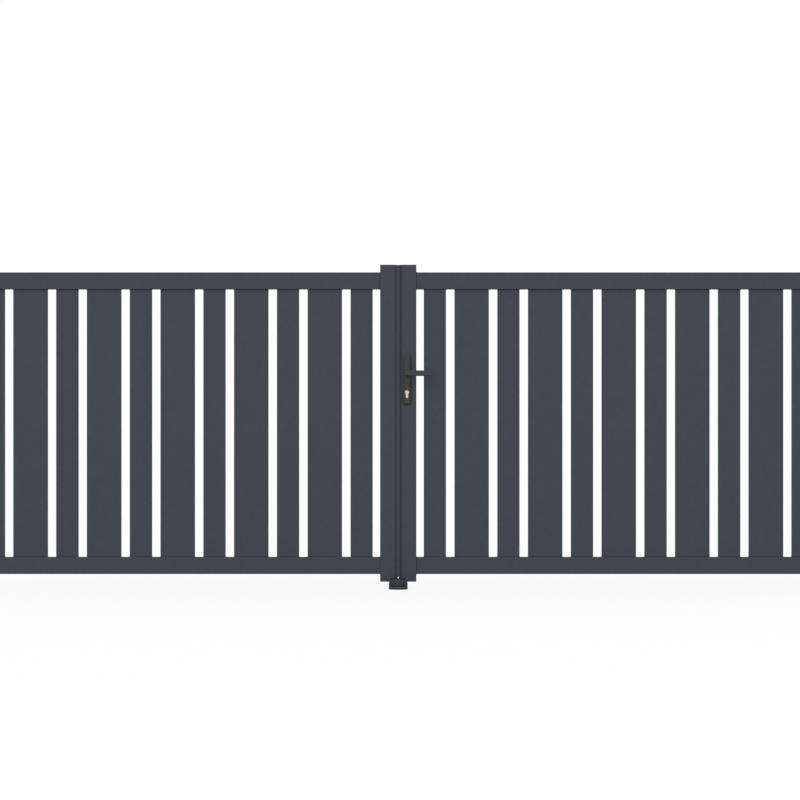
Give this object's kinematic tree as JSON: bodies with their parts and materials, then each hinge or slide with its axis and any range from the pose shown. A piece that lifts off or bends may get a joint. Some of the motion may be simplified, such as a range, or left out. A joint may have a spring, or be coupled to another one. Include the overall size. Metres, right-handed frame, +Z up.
{
  "type": "double swing gate",
  "caption": "Double swing gate: hollow aluminium frames with upright boards of alternating width, hung between posts, with a lever lock, closing strip and floor stop.",
  "frame": {"origin": "middle of the underside of the left post's foot plate, on the ground", "axes": "+X along the gate from the left post to the right one, +Y to the inside, where the leaves open to, +Z up"},
  "size_m": [4.32, 0.21, 1.484],
  "materials": {
    "frame_paint": "satin",
    "cap_plastic": "matte",
    "hinge_paint": "satin",
    "washer_nylon": "matte",
    "handle_paint": "satin",
    "lock_steel": "satin",
    "cylinder_brass": "polished",
    "stop_paint": "matte",
    "buffer_rubber": "matte"
  },
  "bodies": {
    "posts": {"left_post": "frame_paint", "left_post_base_plate": "frame_paint", "left_post_cap": "cap_plastic", "left_lower_hinge_bracket": "hinge_paint", "left_upper_hinge_bracket": "hinge_paint", "right_post": "frame_paint", "right_post_base_plate": "frame_paint", "right_post_cap": "cap_plastic", "right_lower_hinge_bracket": "hinge_paint", "right_upper_hinge_bracket": "hinge_paint", "hinge_washers": "washer_nylon", "floor_stop": "stop_paint", "stop_buffer": "buffer_rubber"},
    "left_leaf": {"left_hinge_stile": "frame_paint", "left_meeting_stile": "frame_paint", "left_top_rail": "frame_paint", "left_bottom_rail": "frame_paint", "left_wide_boards": "frame_paint", "left_narrow_boards": "frame_paint", "left_stile_caps": "cap_plastic", "left_lower_hinge_knuckle": "hinge_paint", "left_upper_hinge_knuckle": "hinge_paint", "closing_strip": "frame_paint", "strike_plate": "lock_steel"},
    "right_leaf": {"right_hinge_stile": "frame_paint", "right_meeting_stile": "frame_paint", "right_top_rail": "frame_paint", "right_bottom_rail": "frame_paint", "right_wide_boards": "frame_paint", "right_narrow_boards": "frame_paint", "right_stile_caps": "cap_plastic", "right_lower_hinge_knuckle": "hinge_paint", "right_upper_hinge_knuckle": "hinge_paint", "lock_case": "lock_steel", "key_cylinder": "cylinder_brass", "front_handle_plate": "handle_paint", "back_handle_plate": "handle_paint"},
    "handle": {"front_lever": "handle_paint", "back_lever": "handle_paint", "lever_spindle": "lock_steel"}
  },
  "joints": [
    {"name": "left_leaf_swing", "type": "hinge", "parent": "posts", "child": "left_leaf", "pos_m": [0.087, 0.01, 0], "axis": [0, 0, 1], "range_deg": [0, 95]},
    {"name": "right_leaf_swing", "type": "hinge", "parent": "posts", "child": "right_leaf", "pos_m": [4.033, 0.01, 0], "axis": [0, 0, -1], "range_deg": [0, 95]},
    {"name": "lever_turn", "type": "hinge", "parent": "right_leaf", "child": "handle", "pos_m": [2.099, 0, 0.951], "axis": [0, 1, 0], "range_deg": [0, 40], "stiffness_Nm_per_rad": 1.5, "springref_deg": -45.84}
  ]
}
